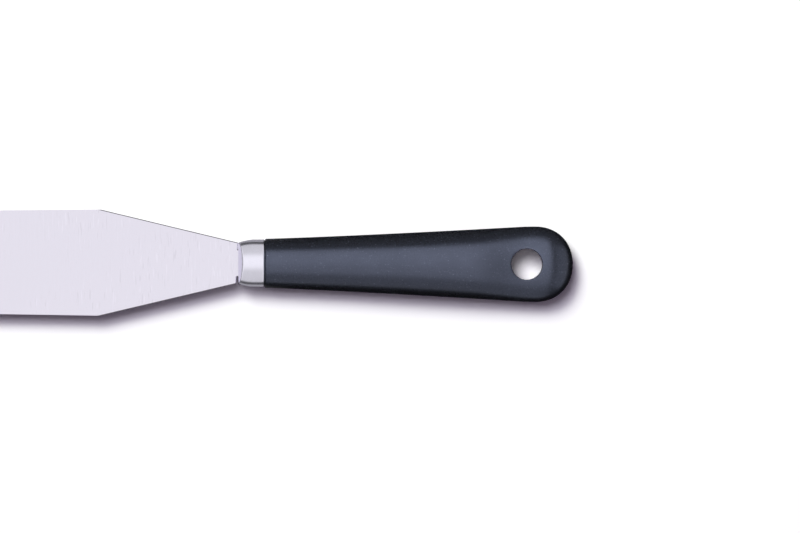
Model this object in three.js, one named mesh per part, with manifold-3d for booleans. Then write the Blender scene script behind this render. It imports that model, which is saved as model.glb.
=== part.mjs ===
// A straight pastry spatula in three pieces: a flexible steel blade with its tang, a drawn steel ferrule
// and a plastic handle moulded round the tang. Millimetres, +Z up. The tool lies along X with the blade
// level, tip to -X and butt to +X. The origin is under the middle of its length, at its lowest point.
import * as THREE from "three";
import { mergeVertices } from "three/addons/utils/BufferGeometryUtils.js";
import Module from "manifold-3d";

// Blade
const BLADE_LENGTH = 250; // tip to shoulders
const HEEL_WIDTH = 40; // widest place, where the heel starts to taper
const HEEL_LENGTH = 51; // tapered stretch from the widest place to the shoulders
const TIP_RADIUS = 17.8;
const SHOULDER_WIDTH = 15.2;
const SHOULDER_SKEW = 0.45; // cut a little out of square: the -Y shoulder stands back this much
const BLADE_THICKNESS = 1.2; // at the heel and the tang
const TIP_THICKNESS = 0.8; // the blade is ground thinner from the heel to the tip

// Tang
const TANG_WIDTH = 10.2;
const TANG_END_RADIUS = 3;
const TANG_COVER = 24; // plastic between the tang's end and the hanging hole
const KEY_DIAMETER = 5; // holes in the tang that the moulding fills
const KEY_COUNT = 2;

// Ferrule
const FERRULE_LENGTH = 9.8;
const FERRULE_WIDTH = 18;
const FERRULE_HEIGHT = 12;
const FERRULE_WALL = 0.8;
const NOSE_LENGTH = 2.3; // stretch at the front that is pressed down on the tang
const NOSE_HEIGHT = 3.2; // flat front face round the tang
const NOSE_INSET = 0.2; // the front face is this much narrower than the shoulders, on each side
const NOSE_FULLNESS = 1.5; // 1 is a straight slope, 2 is a quarter of an ellipse
const NOSE_BOW = 0.75; // the pressed stretch is this share shorter at its two sides
const TAPER_LENGTH = 3.4; // stretch behind the nose over which the sleeve still widens
const TAPER_FULLNESS = 1.3;
const TRIM_SQUARENESS = 5; // rounding of the sides where the sleeve is narrowed
const RIM_RADIUS = 0.3; // soft edge at the back

// Handle
const HANDLE_LENGTH = 116;
const HANDLE_PROUD = 0.25; // the handle stands this much outside the ferrule
const HANDLE_HEIGHT = 15.8; // thickest place
const HEIGHT_RISE = 70; // stretch over which the handle thickens
const THINNING_START = 76; // from here it thins again towards the butt
const BUTT_HEIGHT = 11.5; // thickness at the hanging hole
const HEIGHT_FALL = 10; // rounded end, seen from the side
const BUTT_WIDTH = 28.4;
const BUTT_LENGTH = 14.2; // rounded end, seen from above
const BUTT_SQUARENESS = 2.15; // 2 is a plain ellipse
const BUTT_FLAT = 0.3; // tiny flat where the butt's curves meet
const FLANK_FLARE = 1.18; // 1 is a straight flank, more is a slightly hollow one
const FLANK_EASE = 6; // stretch where the flank turns parallel before the butt
const FRONT_SQUARENESS = 2.05; // of the oval section at the ferrule
const BACK_SQUARENESS = 2.2; // of the flatter oval near the butt
const SQUARING_START = 20; // where the faces start to flatten
const FRONT_RADIUS = 0.4; // soft edge at the front

// Hanging hole
const HOLE_DIAMETER = 11.7;
const HOLE_FROM_BUTT = 17.3; // hole's centre to the end of the handle
const HOLE_CHAMFER = 0.3;

// Clearances
const SHOULDER_GAP = 0.3; // nearer shoulder to the ferrule's front
const FERRULE_GAP = 0.3; // ferrule's back to the handle
const TANG_CLEARANCE = 0.3;
const SPIGOT_CLEARANCE = 0.3;

// Fineness of the curved surfaces
const RING_POINTS = 48;
const NOSE_STEPS = 6;
const TAPER_STEPS = 4;
const EDGE_STEPS = 3;
const FLANK_STEPS = 12;
const EASE_STEPS = 3;
const BUTT_STEPS = 9;
const ARC_STEPS = 24;
const HOLE_SIDES = 40;
const KEY_SIDES = 24;
const CUT_MARGIN = 1; // cutters run this far past what they cut
const WELD = 1e-4; // corners closer than this are one

// Stations along the tool, measured from the blade's shoulders towards the butt
const FERRULE_START = SHOULDER_GAP;
const HANDLE_START = FERRULE_START + FERRULE_LENGTH + FERRULE_GAP;
const BUTT_END = HANDLE_START + HANDLE_LENGTH;
const HOLE_CENTRE = BUTT_END - HOLE_FROM_BUTT;
const TANG_LENGTH = HOLE_CENTRE - HOLE_DIAMETER / 2 - TANG_COVER;
const MIDDLE = (BUTT_END - BLADE_LENGTH) / 2;

const { lerp, smoothstep } = THREE.MathUtils;
const wasm = await Module();
wasm.setup();

function toSolid(geometry) {
  geometry.deleteAttribute("normal");
  geometry.deleteAttribute("uv");
  const merged = mergeVertices(geometry, WELD);
  const mesh = new wasm.Mesh({
    numProp: 3,
    vertProperties: new Float32Array(merged.attributes.position.array),
    triVerts: new Uint32Array(merged.index.array),
  });
  return new wasm.Manifold(mesh);
}

function toGeometry(solid) {
  const { vertProperties, triVerts } = solid.getMesh();
  const geometry = new THREE.BufferGeometry();
  geometry.setAttribute("position", new THREE.BufferAttribute(vertProperties, 3));
  geometry.setIndex(new THREE.BufferAttribute(triVerts, 1));
  const faceted = geometry.toNonIndexed();
  faceted.computeVertexNormals();
  return faceted;
}

// A plate of an outline in XY, centred on the XY plane.
function plate(outline, thickness) {
  const geometry = new THREE.ExtrudeGeometry(outline, {
    depth: thickness,
    bevelEnabled: false,
    curveSegments: ARC_STEPS,
  });
  geometry.translate(0, 0, -thickness / 2);
  return geometry;
}

// A round bar along Z, at a place along X.
function uprightBar(x, radius, height) {
  const geometry = new THREE.CylinderGeometry(radius, radius, height, KEY_SIDES);
  geometry.rotateX(Math.PI / 2);
  geometry.translate(x, 0, 0);
  return toSolid(geometry);
}

// A rise from 0 to 1 that starts steep and ends level. Fullness 2 is a quarter of an ellipse.
const roundRise = (t, fullness = 2) => (1 - Math.max(0, 1 - t) ** fullness) ** (1 / fullness);

// Steps from 0 to 1: even ones, and ones that crowd towards 0, where a round rise is steep.
const evenSteps = (count) => Array.from({ length: count + 1 }, (_, i) => i / count);
const roundSteps = (count) => evenSteps(count).map((t) => 1 - Math.cos((t * Math.PI) / 2));

const oval = (x, width, height, squareness) => ({ x, width, height, squareness });

// How high a curve of this squareness stands, at a share of the way out from its middle.
const crown = (share, squareness) => Math.max(0, 1 - share ** squareness) ** (1 / squareness);

// The corners of one oval: a plain ellipse at squareness 2, nearer a rounded box above that. A bow brings
// its two ends forward. A trimmed oval is the middle share of a wider one, cut off and rounded at the sides.
function ovalCorners({ x, width, height, squareness, bow = 0, trimmed = 1, rounding = 0 }) {
  const corners = [];
  for (let i = 0; i < RING_POINTS; i++) {
    const angle = (i / RING_POINTS) * 2 * Math.PI;
    const out = Math.abs(Math.cos(angle)) ** (2 / squareness);
    const rise = crown(out * trimmed, squareness) * crown(out, TRIM_SQUARENESS) ** rounding;
    const y = (width / 2) * out * Math.sign(Math.cos(angle));
    corners.push(x - bow * out ** 2, y, (height / 2) * rise * Math.sign(Math.sin(angle)));
  }
  return corners;
}

// A closed solid along X through ovals, listed from -X to +X.
function loft(ovals) {
  const corners = ovals.flatMap(ovalCorners);
  const frontHub = corners.length / 3;
  const backHub = frontHub + 1;
  corners.push(ovals.at(0).x, 0, 0, ovals.at(-1).x, 0, 0);
  const lastRing = frontHub - RING_POINTS;
  const faces = [];
  for (let i = 0; i < RING_POINTS; i++) {
    const next = (i + 1) % RING_POINTS;
    faces.push(frontHub, next, i);
    faces.push(backHub, lastRing + i, lastRing + next);
    for (let ring = 0; ring < lastRing; ring += RING_POINTS) {
      const ahead = ring + RING_POINTS;
      faces.push(ring + i, ring + next, ahead + next);
      faces.push(ring + i, ahead + next, ahead + i);
    }
  }
  const geometry = new THREE.BufferGeometry();
  geometry.setAttribute("position", new THREE.Float32BufferAttribute(corners, 3));
  geometry.setIndex(faces);
  return toSolid(geometry);
}

// Blade: its own zero is at the shoulder nearer the ferrule.

// The blade proper, from the tip to its widest place. Its straight sides meet the tip's arc at a tangent.
function groundBlade() {
  const tipCentre = TIP_RADIUS - BLADE_LENGTH;
  const along = -HEEL_LENGTH - tipCentre;
  const across = HEEL_WIDTH / 2;
  const tangent = Math.atan2(across, along) + Math.acos(TIP_RADIUS / Math.hypot(along, across));
  const outline = new THREE.Shape();
  outline.moveTo(-HEEL_LENGTH, -across);
  outline.lineTo(-HEEL_LENGTH, across);
  outline.absarc(tipCentre, 0, TIP_RADIUS, tangent, 2 * Math.PI - tangent, false);
  const geometry = plate(outline, BLADE_THICKNESS);
  const position = geometry.attributes.position;
  for (let i = 0; i < position.count; i++) {
    const share = (-HEEL_LENGTH - position.getX(i)) / (BLADE_LENGTH - HEEL_LENGTH);
    const thickness = lerp(BLADE_THICKNESS, TIP_THICKNESS, share);
    position.setZ(i, (Math.sign(position.getZ(i)) * thickness) / 2);
  }
  return toSolid(geometry);
}

// Centres of the keying holes, evenly spread along the tang inside the handle.
function keyStations() {
  const pitch = (TANG_LENGTH - HANDLE_START) / (KEY_COUNT + 1);
  return Array.from({ length: KEY_COUNT }, (_, i) => HANDLE_START + pitch * (i + 1));
}

// The tapered heel, the shoulders and the tang, all at full thickness.
function heelAndTang() {
  const side = TANG_WIDTH / 2;
  const endRadius = Math.min(TANG_END_RADIUS, side);
  const endCentre = TANG_LENGTH - endRadius;
  const shoulder = SHOULDER_WIDTH / 2;
  const shoulderAt = (y) => (-SHOULDER_SKEW * (shoulder - y)) / SHOULDER_WIDTH;
  const outline = new THREE.Shape();
  outline.moveTo(-HEEL_LENGTH, HEEL_WIDTH / 2);
  outline.lineTo(-HEEL_LENGTH, -HEEL_WIDTH / 2);
  outline.lineTo(shoulderAt(-shoulder), -shoulder);
  outline.lineTo(shoulderAt(-side), -side);
  outline.absarc(endCentre, endRadius - side, endRadius, -Math.PI / 2, 0, false);
  outline.absarc(endCentre, side - endRadius, endRadius, 0, Math.PI / 2, false);
  outline.lineTo(shoulderAt(side), side);
  outline.lineTo(shoulderAt(shoulder), shoulder);
  let solid = toSolid(plate(outline, BLADE_THICKNESS));
  for (const station of keyStations()) {
    solid = solid.subtract(uprightBar(station, KEY_DIAMETER / 2, BLADE_THICKNESS + CUT_MARGIN));
  }
  return solid;
}

// Ferrule: an oval sleeve, pressed flat at the front round the tang. Its own zero is its front face.

// The sleeve's outside, drawn in all round by an inset for its inside and for the spigot.
function sleeveOvals(inset, length) {
  const noseWidth = SHOULDER_WIDTH - 2 * NOSE_INSET;
  const tapered = NOSE_LENGTH + TAPER_LENGTH;
  const section = (x) => {
    const bow = NOSE_BOW * Math.min(x, (NOSE_LENGTH * (tapered - x)) / TAPER_LENGTH);
    const widening = roundRise((x - bow) / tapered, TAPER_FULLNESS);
    const width = lerp(noseWidth, FERRULE_WIDTH, widening) - 2 * inset;
    const height = lerp(NOSE_HEIGHT, FERRULE_HEIGHT, roundRise(x / NOSE_LENGTH, NOSE_FULLNESS)) - 2 * inset;
    const trimmed = width / (FERRULE_WIDTH - 2 * inset);
    return { ...oval(inset + x, width, height, FRONT_SQUARENESS), bow, trimmed, rounding: 1 - widening };
  };
  const nose = roundSteps(NOSE_STEPS).map((t) => section(t * NOSE_LENGTH));
  const taper = evenSteps(TAPER_STEPS).map((t) => section(NOSE_LENGTH + t * TAPER_LENGTH));
  return [...nose, ...taper.slice(1), { ...taper.at(-1), x: length }];
}

function ferruleSolid() {
  const outside = sleeveOvals(0, FERRULE_LENGTH - RIM_RADIUS);
  for (const t of roundSteps(EDGE_STEPS).reverse().slice(1)) {
    const drawnIn = 2 * RIM_RADIUS * (1 - roundRise(t));
    const x = FERRULE_LENGTH - RIM_RADIUS * t;
    outside.push(oval(x, FERRULE_WIDTH - drawnIn, FERRULE_HEIGHT - drawnIn, FRONT_SQUARENESS));
  }
  const inside = sleeveOvals(FERRULE_WALL, FERRULE_LENGTH + CUT_MARGIN);
  const slotWidth = TANG_WIDTH + 2 * TANG_CLEARANCE;
  const slotHeight = BLADE_THICKNESS + 2 * TANG_CLEARANCE;
  const slot = new THREE.BoxGeometry(2 * (FERRULE_WALL + CUT_MARGIN), slotWidth, slotHeight);
  return loft(outside).subtract(loft(inside)).subtract(toSolid(slot));
}

// Handle: its own zero is the front of its grip, against the back of the ferrule.
const BUTT_START = HANDLE_LENGTH - BUTT_LENGTH;

// Width seen from above: a flank that flares, eases parallel, and then the round butt.
function gripWidth(x) {
  if (x >= BUTT_START) {
    return BUTT_WIDTH * roundRise((HANDLE_LENGTH - x) / BUTT_LENGTH, BUTT_SQUARENESS);
  }
  const eased = Math.max(0, x - (BUTT_START - FLANK_EASE));
  const along = x - eased ** 2 / (2 * FLANK_EASE);
  const share = along / (BUTT_START - FLANK_EASE / 2);
  return lerp(FERRULE_WIDTH + 2 * HANDLE_PROUD, BUTT_WIDTH, share ** FLANK_FLARE);
}

// Thickness seen from the side: a slow rise from the ferrule, a belly, thinner at the hole, rounded end.
function gripHeight(x) {
  const rise = smoothstep(x, 0, HEIGHT_RISE);
  const belly = lerp(FERRULE_HEIGHT + 2 * HANDLE_PROUD, HANDLE_HEIGHT, rise);
  const thinned = lerp(belly, BUTT_HEIGHT, smoothstep(x, THINNING_START, BUTT_START));
  return thinned * roundRise((HANDLE_LENGTH - x) / HEIGHT_FALL);
}

// Squareness of the grip's oval: the faces flatten towards the butt, and the butt itself is round again.
function gripSquareness(x) {
  const flattened = smoothstep(x, SQUARING_START, BUTT_START);
  const rounded = Math.max(0, (x - BUTT_START) / BUTT_LENGTH);
  return lerp(FRONT_SQUARENESS, BACK_SQUARENESS, flattened * (1 - rounded));
}

// One oval of the grip, drawn in all round where an edge is softened.
function gripOval(x, drawnIn = 0) {
  return oval(x, gripWidth(x) - 2 * drawnIn, gripHeight(x) - 2 * drawnIn, gripSquareness(x));
}

function grip() {
  const easeStart = BUTT_START - FLANK_EASE;
  const softEdge = (t) => gripOval(FRONT_RADIUS * t, FRONT_RADIUS * (1 - roundRise(t)));
  const edge = roundSteps(EDGE_STEPS).map(softEdge);
  const flank = evenSteps(FLANK_STEPS).map((t) => gripOval(lerp(FRONT_RADIUS, easeStart, t)));
  const ease = evenSteps(EASE_STEPS).map((t) => gripOval(lerp(easeStart, BUTT_START, t)));
  const butt = roundSteps(BUTT_STEPS).map((t) => gripOval(lerp(HANDLE_LENGTH, BUTT_START, t)));
  const end = oval(HANDLE_LENGTH, BUTT_FLAT, BUTT_FLAT, FRONT_SQUARENESS);
  return loft([...edge, ...flank.slice(1), ...ease.slice(1), ...butt.reverse().slice(1, -1), end]);
}

// The spigot fills the sleeve behind its nose, less a clearance.
function spigot() {
  const front = FERRULE_START - HANDLE_START;
  const ovals = sleeveOvals(FERRULE_WALL + SPIGOT_CLEARANCE, FRONT_RADIUS - front);
  return loft(ovals.slice(2).map((section) => ({ ...section, x: section.x + front })));
}

// The socket leaves a clearance round the tang, and keys that stand in the tang's holes.
function socket() {
  const front = -HANDLE_START;
  const end = TANG_LENGTH - HANDLE_START + TANG_CLEARANCE;
  const height = BLADE_THICKNESS + 2 * TANG_CLEARANCE;
  const box = new THREE.BoxGeometry(end - front, TANG_WIDTH + 2 * TANG_CLEARANCE, height);
  box.translate((end + front) / 2, 0, 0);
  let solid = toSolid(box);
  for (const station of keyStations()) {
    const key = uprightBar(station - HANDLE_START, KEY_DIAMETER / 2 - TANG_CLEARANCE, height + CUT_MARGIN);
    solid = solid.subtract(key);
  }
  return solid;
}

// The hanging hole, chamfered where it leaves the handle's two faces.
function hangingHole() {
  const radius = HOLE_DIAMETER / 2;
  const centre = HOLE_CENTRE - HANDLE_START;
  const face = gripHeight(centre) / 2;
  const outer = [radius + HOLE_CHAMFER + CUT_MARGIN, face + CUT_MARGIN];
  const inner = [radius, face - HOLE_CHAMFER];
  const above = [inner, outer, [0, outer[1]]];
  const below = above.map(([r, z]) => [r, -z]).reverse();
  const profile = [...below, ...above].map(([r, z]) => new THREE.Vector2(r, z));
  const geometry = new THREE.LatheGeometry(profile, HOLE_SIDES);
  geometry.rotateX(Math.PI / 2);
  geometry.translate(centre, 0, 0);
  return toSolid(geometry);
}

// Materials
const satinSteel = new THREE.MeshStandardMaterial({ color: 0xe4e2ee, roughness: 0.35, metalness: 1 });
const polishedSteel = new THREE.MeshStandardMaterial({ color: 0xe6e4ec, roughness: 0.15, metalness: 1 });
const blackPlastic = new THREE.MeshStandardMaterial({ color: 0x23262e, roughness: 0.5, metalness: 0 });

function piece(name, solid, material, station) {
  const mesh = new THREE.Mesh(toGeometry(solid), material);
  mesh.name = name;
  mesh.position.x = station;
  return mesh;
}

const bladeSolid = groundBlade().add(heelAndTang());
const handleSolid = grip().add(spigot()).subtract(socket()).subtract(hangingHole());

const spatula = new THREE.Group();
spatula.name = "pastry_spatula";
spatula.add(piece("blade", bladeSolid, satinSteel, 0));
spatula.add(piece("ferrule", ferruleSolid(), polishedSteel, FERRULE_START));
spatula.add(piece("handle", handleSolid, blackPlastic, HANDLE_START));
spatula.position.set(-MIDDLE, 0, HANDLE_HEIGHT / 2);

export default spatula;
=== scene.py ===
"""A straight pastry spatula: satin blade, bright ferrule and black moulded handle, dressed round its frame.

Metres, +Z up. The tool lies along X with the blade level, tip to -X and butt to +X.
"""

import math

import bmesh
import bpy
from bpy.props import FloatProperty, FloatVectorProperty, IntProperty, PointerProperty
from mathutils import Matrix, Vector


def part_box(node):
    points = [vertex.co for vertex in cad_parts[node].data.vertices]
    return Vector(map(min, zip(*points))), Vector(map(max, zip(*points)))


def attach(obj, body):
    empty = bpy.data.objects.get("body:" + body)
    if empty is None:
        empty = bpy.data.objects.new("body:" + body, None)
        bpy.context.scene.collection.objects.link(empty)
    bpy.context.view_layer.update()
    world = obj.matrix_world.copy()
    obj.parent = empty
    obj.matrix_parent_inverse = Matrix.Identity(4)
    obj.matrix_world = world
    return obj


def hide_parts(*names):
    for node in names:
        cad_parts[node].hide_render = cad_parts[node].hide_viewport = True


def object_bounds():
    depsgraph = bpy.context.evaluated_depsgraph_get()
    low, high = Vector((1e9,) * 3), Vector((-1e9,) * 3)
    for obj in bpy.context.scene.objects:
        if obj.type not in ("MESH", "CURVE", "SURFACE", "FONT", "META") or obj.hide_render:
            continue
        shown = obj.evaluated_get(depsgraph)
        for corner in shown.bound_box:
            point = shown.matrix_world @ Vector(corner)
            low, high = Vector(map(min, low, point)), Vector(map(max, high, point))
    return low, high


bl_info = {
    "name": "Pastry Spatula",
    "version": (1, 0, 0),
    "blender": (4, 5, 0),
    "location": "View3D > Sidebar > Spatula",
    "description": "Builds a pastry spatula piece by piece round its packed frame",
    "category": "Add Mesh",
}

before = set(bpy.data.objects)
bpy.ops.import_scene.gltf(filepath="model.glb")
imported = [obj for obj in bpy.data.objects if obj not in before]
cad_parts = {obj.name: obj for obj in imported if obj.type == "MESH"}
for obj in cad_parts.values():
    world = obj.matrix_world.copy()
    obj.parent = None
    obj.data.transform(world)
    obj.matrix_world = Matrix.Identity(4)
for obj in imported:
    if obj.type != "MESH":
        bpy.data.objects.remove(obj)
CAD_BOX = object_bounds()
BLADE_LOW, BLADE_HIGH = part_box("blade")
FERRULE_LOW, FERRULE_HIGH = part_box("ferrule")
HANDLE_LOW, HANDLE_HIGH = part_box("handle")
MID_HEIGHT = (BLADE_LOW.z + BLADE_HIGH.z) / 2

# Fineness of the meshes
ARC_STEPS = 64  # round the blade's tip
CORNER_STEPS = 8
EDGE_STEPS = 5  # over a rounded edge
KEY_SIDES = 40
SLEEVE_SIDES = 128
NOSE_STEPS = 24
TAPER_STEPS = 12
FLARE_STEPS = 8
FLANK_STEPS = 48
BUTT_STEPS = 20
ACROSS_STEPS = 64  # over one face of the handle, seam to seam
PATCH_STEPS = 32  # along each side of the square that the hanging hole sits in
RING_STEPS = 8  # from that square to the hole's rim
WALL_STEPS = 6  # down the hole

# Fixed proportions of the shapes
QUARTER_TURN = math.pi / 2
FULL_TURN = 2 * math.pi
ROUND_EDGE, FLAT_BEVEL = 2.0, 1.0  # an edge's roundness
MITRE_LIMIT = 0.2  # keeps the step that draws in a sharp corner from growing without end
SLOT_SQUARENESS = 12.0  # the slot is nearly a plain rectangle
TRIM_SQUARENESS = 5.0  # a trimmed side is rounded like an oval of this squareness
INNER_NOSE_START = 0.1  # the inside of the nose is cut off here, round the slot
PATCH_SHARE = 0.86  # half the side of the square round the hole, as a share of the hole's diameter
PATCH_CORNER = math.radians(225.0)  # bearing of the square's first corner from the hole's middle
RUBBED_FROM = 0.75  # on the way from the square to the hole's rim, where the plastic starts to be rubbed
LEAST_WIDTH = 1e-6  # keeps the very end of the butt from being divided by nothing
FERRULE_CREASE, HANDLE_CREASE = math.radians(40.0), math.radians(50.0)  # sharper edges stay crisp

# Finishes: how close noise lies along X, Y and Z, per metre, and the sizes of bumps, in metres
GRIND_LINES = (2600.0, 90.0, 300.0)
GRIND_HAIRS = (6500.0, 220.0, 300.0)
SHORT_MARKS = (1900.0, 200.0, 300.0)
BUFFED_HAIRS = (5200.0, 160.0, 160.0)
GRIND_DEPTH, BUFF_DEPTH, TOOTH_DEPTH = 0.000002, 0.000001, 0.000012
PARTING_DEPTH, PARTING_WIDTH = 0.00003, 0.00012
NOISE_RANGE = (0.3, 0.7)  # most of a noise lies in here
WHITE = (1.0, 1.0, 1.0, 1.0)

# Round lamps: lean from overhead in degrees, radius, watts and colour. The two keys add up to white, and the
# edge of the shadow, which only the high one reaches, is mauve.
ROUND_LAMPS = (
    ("key_high", 24.0, 0.975, 78.5, (0.909, 0.864, 1.0)),
    ("key_low", 38.0, 0.825, 93.8, (0.936, 1.0, 0.857)),
    ("top", 0.0, 0.18, 7.0, (1.0, 0.91, 1.0)),
)
# Soft boxes that only the handle's gloss shows: a bearing from +X and two edges from overhead towards that
# bearing, all in degrees, then the length of those edges and a brightness
SOFT_BOXES = (
    ("soft_box_back", 90.0, -2.0, 41.0, 0.66, 12.7),
    ("soft_box_front", 90.0, -30.0, -2.0, 0.66, 9.5),
    ("soft_box_low", 90.0, -78.0, -30.0, 0.66, 4.0),
    ("soft_box_butt", -8.0, 30.0, 80.0, 1.4, 4.2),
)
# The tent that the steel mirrors: how bright it is at each height, from the horizon (0) to overhead (1)
TENT_STEPS = (
    (0.0, 0.12), (0.10, 0.14), (0.16, 0.52), (0.22, 0.66), (0.60, 0.69), (0.86, 0.72), (0.92, 0.84),
    (0.965, 1.00), (1.0, 1.05),
)
TENT_END_REACH = (0.2, 0.6)  # from the middle (0) to straight along the tool (1), where its ends brighten
SENSOR_WIDTH = 36.0  # millimetres, as lenses are given
FAR_CLIP = 50.0  # past the floor's far corners


def setting_kind(make, **options):
    """A maker of settings that share their limits, their unit and their look in the panel."""

    def setting(name, description, default):
        return make(name=name, description=description, default=default, **options)

    return setting


length = setting_kind(FloatProperty, min=0.0, unit="LENGTH", precision=5)
offset = setting_kind(FloatProperty, unit="LENGTH", precision=5)  # a length to either side
number = setting_kind(FloatProperty, min=0.0)  # an exponent or a factor
share = setting_kind(FloatProperty, min=0.0, max=1.0, subtype="FACTOR")
turn = setting_kind(FloatProperty, subtype="ANGLE")  # radians
colour = setting_kind(FloatVectorProperty, size=3, min=0.0, max=1.0, subtype="COLOR")  # linear
whole = setting_kind(IntProperty, min=0)


class BladeSettings(bpy.types.PropertyGroup):
    """Sizes and finish of the blade."""

    tip_radius: length("Tip radius", "Radius of the round tip", 0.0178)
    tip_thickness: length("Tip thickness", "The blade is ground thinner towards the tip", 0.0008)
    heel_length: length("Heel length", "Tapered stretch from the widest place to the shoulders", 0.0517)
    heel_corner: length("Heel corner", "Radius where the sides turn into the heel", 0.0013)
    shoulder_width: length("Shoulder width", "Width of the heel at the shoulders", 0.0155)
    shoulder_gap: length("Shoulder gap", "Nearer shoulder to the ferrule's front", 0.0001)
    shoulder_skew: length("Shoulder skew", "How far the -Y shoulder stands back", 0.00065)
    shoulder_corner: length("Shoulder corner", "Radius of the shoulders and of the tang's root", 0.0003)
    edge_radius: length("Edge radius", "Rounding of the blade's long edges and tip", 0.00004)
    heel_bevel: length("Heel bevel", "Flat bevel along the heel's edges", 0.0003)
    tang_width: length("Tang width", "Width of the tang inside the handle", 0.0102)
    tang_corner: length("Tang corner", "Radius of the tang's end", 0.003)
    key_diameter: length("Key diameter", "Holes in the tang that the moulding fills", 0.005)
    key_count: whole("Key count", "Holes in the tang", 2)
    steel: colour("Steel", "Colour of the satin steel", (0.75, 0.722, 0.815))
    roughness: share("Roughness", "Roughness of the satin steel", 0.17)


class FerruleSettings(bpy.types.PropertyGroup):
    """Sizes and finish of the ferrule."""

    wall: length("Wall", "Thickness of the sleeve's wall", 0.0008)
    nose_length: length("Nose length", "Stretch that is pressed down on the tang", 0.0023)
    nose_width: length("Nose width", "Width of the flat front face", 0.0153)
    nose_height: length("Nose height", "Height of the flat front face", 0.0032)
    nose_fullness: number("Nose fullness", "1 is a straight slope, 2 is a quarter of an ellipse", 1.5)
    taper_length: length("Taper length", "Stretch behind the nose that still widens", 0.0034)
    taper_fullness: number("Taper fullness", "1 widens in a straight line, 2 along an ellipse", 1.3)
    nose_bow: share("Nose bow", "How much shorter the pressed nose is at its two sides", 0.75)
    flare: length("Flare", "How far the back rim is turned out", 0.00004)
    flare_length: length("Flare length", "Stretch over which the rim turns out", 0.0004)
    squareness: number("Squareness", "2 is a plain oval, more is nearer a box", 2.05)
    rim_radius: length("Rim radius", "Soft edge at the back", 0.0003)
    slot_width: length("Slot width", "Slot that the tang passes through", 0.0108)
    slot_height: length("Slot height", "Slot that the tang passes through", 0.0018)
    steel: colour("Steel", "Colour of the polished steel", (0.83, 0.813, 0.92))
    roughness: share("Roughness", "Roughness of the polished steel", 0.16)


class HandleSettings(bpy.types.PropertyGroup):
    """Sizes and finish of the handle."""

    ferrule_gap: length("Ferrule gap", "Ferrule's back to the handle's front", 0.0003)
    front_width: length("Front width", "Width at the ferrule", 0.0185)
    front_height: length("Front height", "Thickness at the ferrule", 0.0125)
    front_radius: length("Front radius", "Soft edge at the front", 0.0004)
    front_squareness: number("Front squareness", "Squareness of the oval at the ferrule", 2.05)
    back_squareness: number("Back squareness", "Squareness of the flatter oval near the butt", 2.2)
    squaring_start: length("Squaring start", "Where the faces start to flatten", 0.020)
    height_rise: length("Height rise", "Stretch over which the handle thickens", 0.070)
    thinning_start: length("Thinning start", "Where it starts to thin again towards the butt", 0.076)
    butt_height: length("Butt height", "Thickness at the hanging hole", 0.0115)
    height_fall: length("Height fall", "Rounded end, seen from the side", 0.010)
    butt_length: length("Butt length", "Rounded end, seen from above", 0.0142)
    butt_squareness: number("Butt squareness", "Squareness of the rounded end", 2.15)
    flank_flare: number("Flank flare", "1 is a straight flank, more is slightly hollow", 1.18)
    flank_ease: length("Flank ease", "Stretch where the flank turns parallel before the butt", 0.006)
    spigot_length: length("Spigot length", "Stretch that stands in the ferrule", 0.0045)
    spigot_inset: length("Spigot inset", "How far the spigot stands in from the front's edge", 0.00135)
    collar_length: length("Collar length", "Low collar that fills the gap behind the ferrule", 0.00025)
    collar_inset: length("Collar inset", "How far the collar stands in from the front's edge", 0.0005)
    hole_diameter: length("Hole diameter", "Bore of the hanging hole", 0.0117)
    hole_from_butt: length("Hole from butt", "Hole's centre to the end of the handle", 0.0173)
    hole_rim: length("Hole rim", "Rounding of the hole's rims", 0.00015)
    plastic: colour("Plastic", "Colour of the black plastic", (0.0045, 0.0048, 0.0062))
    roughness: share("Roughness", "Roughness of the moulded surface", 0.29)


class StageSettings(bpy.types.PropertyGroup):
    """Camera, lights and floor."""

    picture_width: length("Picture width", "Width that the picture takes in at the blade", 0.3016)
    picture_x: length("Picture X", "Middle of the picture along the tool", 0.1231)
    picture_y: offset("Picture Y", "Middle of the picture across the tool", -0.00104)
    picture_turn: turn("Picture turn", "The tool lies a little off level in the picture", math.radians(0.2))
    camera_distance: length("Camera distance", "Camera above the blade", 4.0)
    lamp_distance: length("Lamp distance", "Round lamps to the tool", 3.6)
    lamp_bearing: turn("Lamp bearing", "Bearing of the lamps round the tool, from +X", math.radians(123.0))
    sheen_distance: length("Sheen distance", "Soft boxes to the handle", 1.0)
    fill: colour("Fill", "The tent's light on matt surfaces", (0.066, 0.045, 0.085))
    mirrored_near: share("Mirrored near", "How bright the steel shows the floor close by", 0.34)
    mirrored_far: share("Mirrored far", "How bright steel and plastic show the floor further off", 0.10)
    mirrored_handle: share("Mirrored handle", "How bright the handle shows the floor close by", 0.03)
    handle_ease: length("Handle ease", "Stretch over which the close floor darkens behind the ferrule", 0.01)
    near_reach: length("Near reach", "Where the close floor starts to darken, from the tool's axis", 0.036)
    far_reach: length("Far reach", "Where the floor is as dark as it gets", 0.046)
    tent_lean: turn("Tent lean", "How far the tent's bright top leans towards +Y", math.radians(6.0))
    tent_ends: number("Tent ends", "How much brighter the tent is towards the tool's two ends", 1.4)
    floor_size: length("Floor size", "Side of the square floor", 8.0)
    floor_colour: colour("Floor", "Colour of the pale floor", (0.98, 0.98, 0.98))
    # Painted light: a glowing spot painted on the floor under the hanging hole, which only the camera sees
    painted_light_ahead: length("Glow ahead", "Pale spot on the floor, from the hanging hole towards the butt", 0.0005)
    painted_light_aside: length("Glow aside", "The same spot, from the hole towards -Y", 0.0025)
    painted_light_radius: length("Glow radius", "Reach of the pale spot", 0.0064)
    painted_light: share("Glow", "How much paler the camera sees the floor at the middle of the spot", 0.40)


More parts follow.
